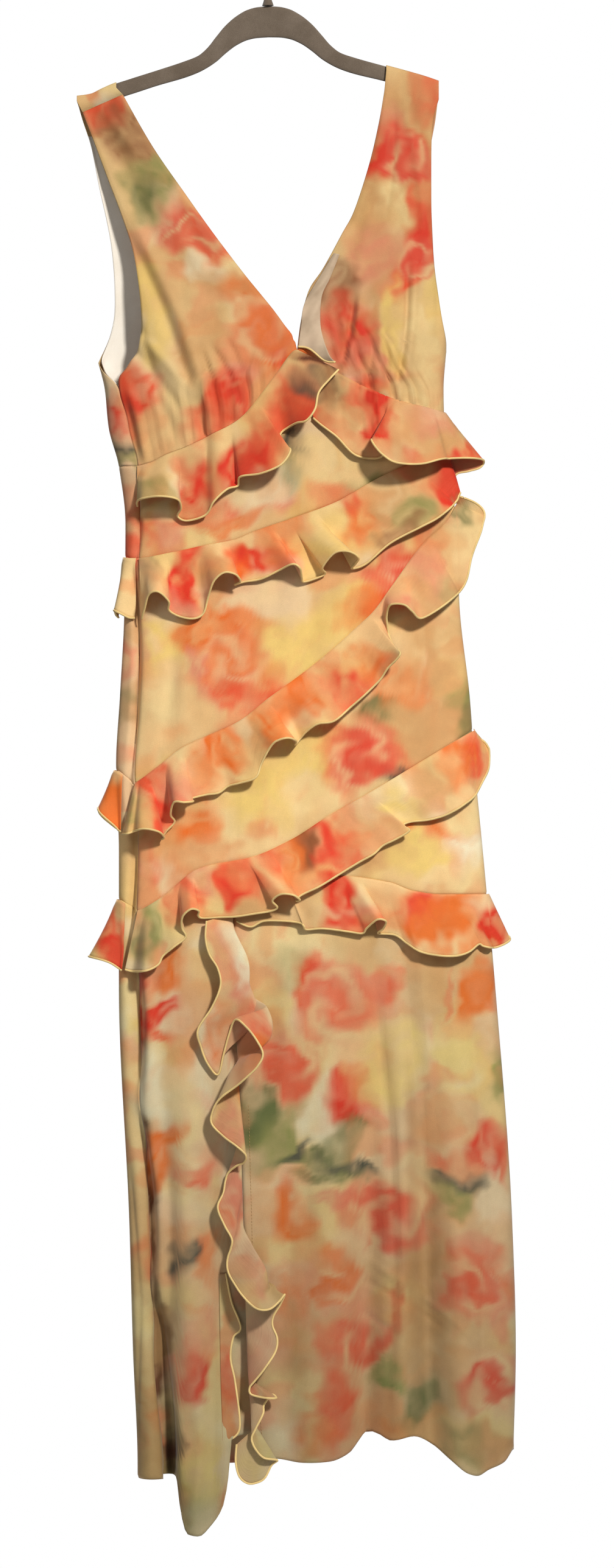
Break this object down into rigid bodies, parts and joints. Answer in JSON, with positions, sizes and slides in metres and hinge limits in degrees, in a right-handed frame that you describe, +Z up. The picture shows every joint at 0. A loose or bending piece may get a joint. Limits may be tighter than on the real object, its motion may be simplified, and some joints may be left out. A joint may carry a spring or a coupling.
{
  "type": "maxi dress on hanger",
  "caption": "Sleeveless V-neck maxi dress with slanted ruffle tiers and a ruffled front slit, hung by its wide straps on a slim flocked hanger.",
  "frame": {"origin": "inside top of the hanger's hook, where a rail carries it", "axes": "+Z up, -Y out of the dress's front, +X to the right as the front is seen"},
  "size_m": [0.4689, 0.1378, 1.7115],
  "materials": {
    "printed_chiffon": "sheer crinkled chiffon with a watercolour flower print",
    "lining": "plain woven lining",
    "chiffon_wrong_side": "paler wrong side of the print",
    "flock": "flocked, velvety",
    "hook_steel": "polished wire"
  },
  "bodies": {
    "root": {"front_bodice_left": "printed_chiffon", "front_bodice_right": "printed_chiffon", "back_bodice_left": "printed_chiffon", "back_bodice_right": "printed_chiffon", "back_lining_left": "lining", "neck_facing_right": "chiffon_wrong_side", "front_midriff": "printed_chiffon", "front_hip_upper": "printed_chiffon", "front_hip_middle": "printed_chiffon", "front_hip_lower": "printed_chiffon", "front_skirt_left": "printed_chiffon", "front_skirt_right": "printed_chiffon", "back_midriff": "printed_chiffon", "back_hip_upper": "printed_chiffon", "back_hip_lower": "printed_chiffon", "back_skirt": "printed_chiffon", "ruffle_bust_left": "printed_chiffon", "ruffle_bust_right": "printed_chiffon", "ruffle_waist": "printed_chiffon", "ruffle_hip_upper": "printed_chiffon", "ruffle_hip_middle": "printed_chiffon", "ruffle_hip_lower": "printed_chiffon", "ruffle_back_waist": "printed_chiffon", "ruffle_back_hip_upper": "printed_chiffon", "ruffle_back_hip_lower": "printed_chiffon", "ruffle_slit": "printed_chiffon", "slit_underlay": "printed_chiffon", "hanger_body": "flock", "hanger_collar": "flock", "hanger_hook": "hook_steel"}
  },
  "joints": []
}
